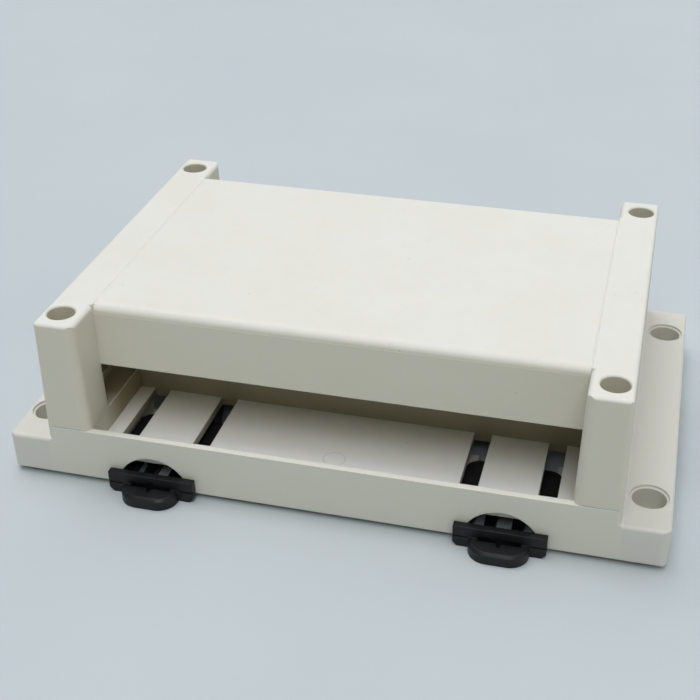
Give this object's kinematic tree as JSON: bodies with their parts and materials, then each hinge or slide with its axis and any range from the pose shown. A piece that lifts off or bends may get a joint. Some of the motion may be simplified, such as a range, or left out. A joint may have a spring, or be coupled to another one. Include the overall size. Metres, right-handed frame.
{
  "type": "din rail enclosure",
  "caption": "Shallow plastic electronics enclosure with open terminal sides, flanges with wall screw holes and sliding clips for a 35 mm rail",
  "frame": {"origin": "middle of the base's footprint, in the plane of the rim, where the axis of the wall screw hole pattern crosses it", "axes": "+X along the rail and the longest side, -Y towards the rail clips, +Z towards the top of the cover"},
  "size_m": [0.145, 0.0962, 0.04],
  "materials": {
    "housing": "fine moulded grain",
    "clip": "satin",
    "screw": "zinc plated"
  },
  "bodies": {
    "enclosure": {"base": "housing", "cover": "housing", "cover_screw_front_left": "screw", "cover_screw_front_right": "screw", "cover_screw_back_left": "screw", "cover_screw_back_right": "screw"},
    "rail_clip_left": {"rail_clip_left": "clip"},
    "rail_clip_right": {"rail_clip_right": "clip"}
  },
  "joints": [
    {"name": "rail_clip_left_slide", "type": "slide", "parent": "enclosure", "child": "rail_clip_left", "axis": [0, -1, 0], "range_m": [0, 0.003]},
    {"name": "rail_clip_right_slide", "type": "slide", "parent": "enclosure", "child": "rail_clip_right", "axis": [0, -1, 0], "range_m": [0, 0.003]}
  ]
}
